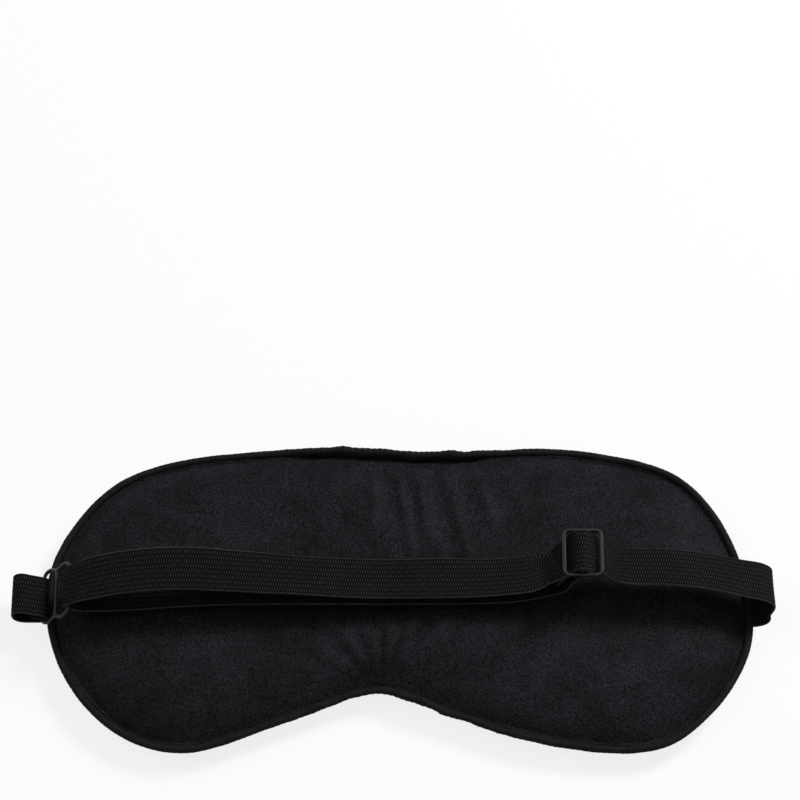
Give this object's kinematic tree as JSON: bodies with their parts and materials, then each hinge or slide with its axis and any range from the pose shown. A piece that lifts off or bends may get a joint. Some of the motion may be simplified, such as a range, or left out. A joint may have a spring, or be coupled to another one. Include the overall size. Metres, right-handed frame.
{
  "type": "padded sleep mask",
  "caption": "Padded two-eye sleep mask with a piped edge and an adjustable elastic head strap, lying on its outer face.",
  "frame": {"origin": "on the flat underside of the outer face, in the middle of the mask's width, at the height of the strap's two attachments", "axes": "+X along the mask's width to the wearer's strap end without the ring, +Y towards the brow edge, +Z from the outer face to the face side and the strap"},
  "size_m": [0.223, 0.0976, 0.029],
  "materials": {
    "lining_satin": "soft black satin-faced cotton, slightly rumpled",
    "outer_satin": "soft black satin-faced cotton",
    "blackout_cloth": "dense matt black interlining",
    "wadding": "needled polyester wadding",
    "piping_satin": "black satin bias strip, a little puckered",
    "filler_cord": "twisted cotton cord",
    "elastic": "black braided elastic with lengthwise ribs",
    "coated_wire": "nylon-coated steel wire, black, satin",
    "slider_plastic": "moulded black plastic, slightly glossy",
    "thread": "black polyester thread"
  },
  "bodies": {
    "mask": {"back_panel": "lining_satin", "front_panel": "outer_satin", "blackout_layer": "blackout_cloth", "padding": "wadding", "piping_cover": "piping_satin", "piping_cord": "filler_cord", "ring_tab": "elastic"},
    "strap": {"strap_ring_turn": "elastic", "strap_upper_run": "elastic", "strap_return_run": "elastic", "strap_right_run": "elastic", "strap_right_loop": "elastic"},
    "ring": {"ring": "coated_wire"},
    "strap_end": {"strap_end_loop": "elastic", "loop_stitches": "thread", "strap_slider_pass": "elastic"},
    "slider": {"slider": "slider_plastic"}
  },
  "joints": [
    {"name": "strap_lift", "type": "slide", "parent": "mask", "child": "strap", "axis": [0, 0, 1], "range_m": [0, 0.06], "deforming": ["ring_tab", "strap_right_loop"]},
    {"name": "ring_swing", "type": "hinge", "parent": "strap", "child": "ring", "pos_m": [-0.1042, -0.0011, 0.0089], "axis": [0, 1, 0], "range_deg": [-15, 15], "deforming": ["strap_ring_turn"]},
    {"name": "slider_slide", "type": "slide", "parent": "strap", "child": "strap_end", "axis": [1, 0, 0], "range_m": [-0.07, 0.018], "deforming": ["strap_upper_run", "strap_return_run", "strap_right_run"]},
    {"name": "slider_tilt", "type": "hinge", "parent": "strap_end", "child": "slider", "pos_m": [0.05274, 0.0056, 0.0264], "axis": [0, 1, 0], "range_deg": [-10, 10], "deforming": ["strap_slider_pass"]}
  ]
}
